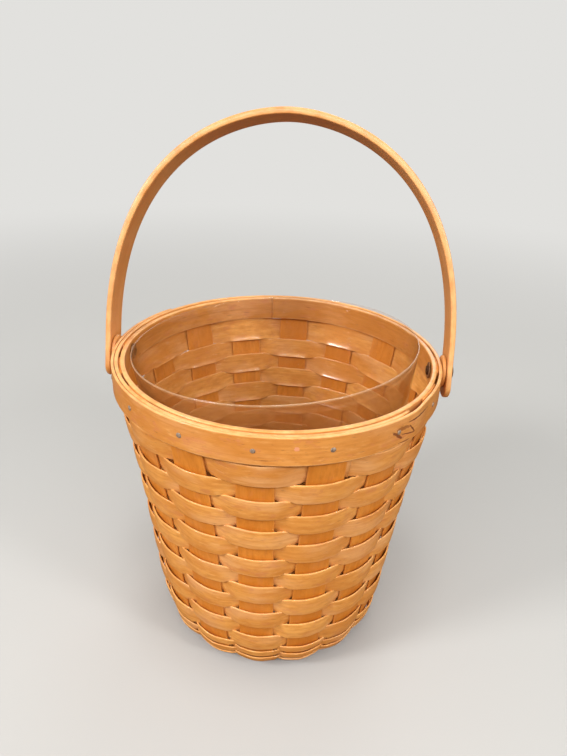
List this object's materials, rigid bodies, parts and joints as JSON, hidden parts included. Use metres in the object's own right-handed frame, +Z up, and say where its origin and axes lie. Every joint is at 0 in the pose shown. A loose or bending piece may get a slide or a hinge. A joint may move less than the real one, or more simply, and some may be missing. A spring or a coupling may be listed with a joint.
{
  "type": "woven splint basket",
  "caption": "Round woven splint basket with a bent wooden swing handle, doubled rim bands and a loose clear plastic liner.",
  "frame": {"origin": "middle of the underside of the base, on the surface the basket stands on", "axes": "+Z up, the handle's hinge line along X, the front toward -Y"},
  "size_m": [0.2317, 0.2163, 0.3575],
  "materials": {
    "stake_splint": "clear-coated splint, amber, satin",
    "weaver_splint": "clear-coated splint, honey, satin",
    "band_wood": "clear-coated strip, honey, satin",
    "handle_wood": "clear-coated bent wood, pale honey, satin",
    "rivet_metal": "dark aged metal",
    "tack_metal": "dull grey steel",
    "liner_plastic": "clear moulded plastic"
  },
  "bodies": {
    "basket": {"stake_splint_1": "stake_splint", "stake_splint_2": "stake_splint", "stake_splint_3": "stake_splint", "stake_splint_4": "stake_splint", "stake_splint_5": "stake_splint", "stake_splint_6": "stake_splint", "stake_splint_7": "stake_splint", "stake_splint_8": "stake_splint", "side_weaver_1": "weaver_splint", "side_weaver_2": "weaver_splint", "side_weaver_3": "weaver_splint", "side_weaver_4": "weaver_splint", "side_weaver_5": "weaver_splint", "side_weaver_6": "weaver_splint", "side_weaver_7": "weaver_splint", "side_weaver_8": "weaver_splint", "side_weaver_9": "weaver_splint", "side_weaver_10": "weaver_splint", "side_weaver_11": "weaver_splint", "side_weaver_12": "weaver_splint", "side_weaver_13": "weaver_splint", "heel_weaver_1": "weaver_splint", "heel_weaver_2": "weaver_splint", "heel_weaver_3": "weaver_splint", "heel_weaver_4": "weaver_splint", "heel_weaver_5": "weaver_splint", "heel_weaver_6": "weaver_splint", "heel_weaver_7": "weaver_splint", "heel_weaver_8": "weaver_splint", "base_weaver_1": "weaver_splint", "base_weaver_2": "weaver_splint", "base_weaver_3": "weaver_splint", "base_weaver_4": "weaver_splint", "inner_rim_band": "band_wood", "outer_rim_band": "band_wood", "rim_tack_1": "tack_metal", "rim_tack_2": "tack_metal", "rim_tack_3": "tack_metal", "rim_tack_4": "tack_metal", "rim_tack_5": "tack_metal", "rim_tack_6": "tack_metal", "rim_tack_7": "tack_metal", "rim_tack_8": "tack_metal", "rim_tack_9": "tack_metal", "rim_tack_10": "tack_metal", "rim_tack_11": "tack_metal", "rim_tack_12": "tack_metal", "rim_tack_13": "tack_metal", "rim_tack_14": "tack_metal", "right_handle_rivet": "rivet_metal", "left_handle_rivet": "rivet_metal", "right_rivet_washer": "rivet_metal", "left_rivet_washer": "rivet_metal", "right_handle_spacer": "handle_wood", "left_handle_spacer": "handle_wood"},
    "handle": {"handle": "handle_wood"},
    "liner": {"liner": "liner_plastic"}
  },
  "joints": [
    {"name": "handle_swing", "type": "hinge", "parent": "basket", "child": "handle", "pos_m": [0, 0, 0.20345], "axis": [1, 0, 0], "range_deg": [-120, 156]},
    {"name": "liner_lift", "type": "slide", "parent": "basket", "child": "liner", "axis": [0, 0, 1], "range_m": [0, 0.06]}
  ]
}
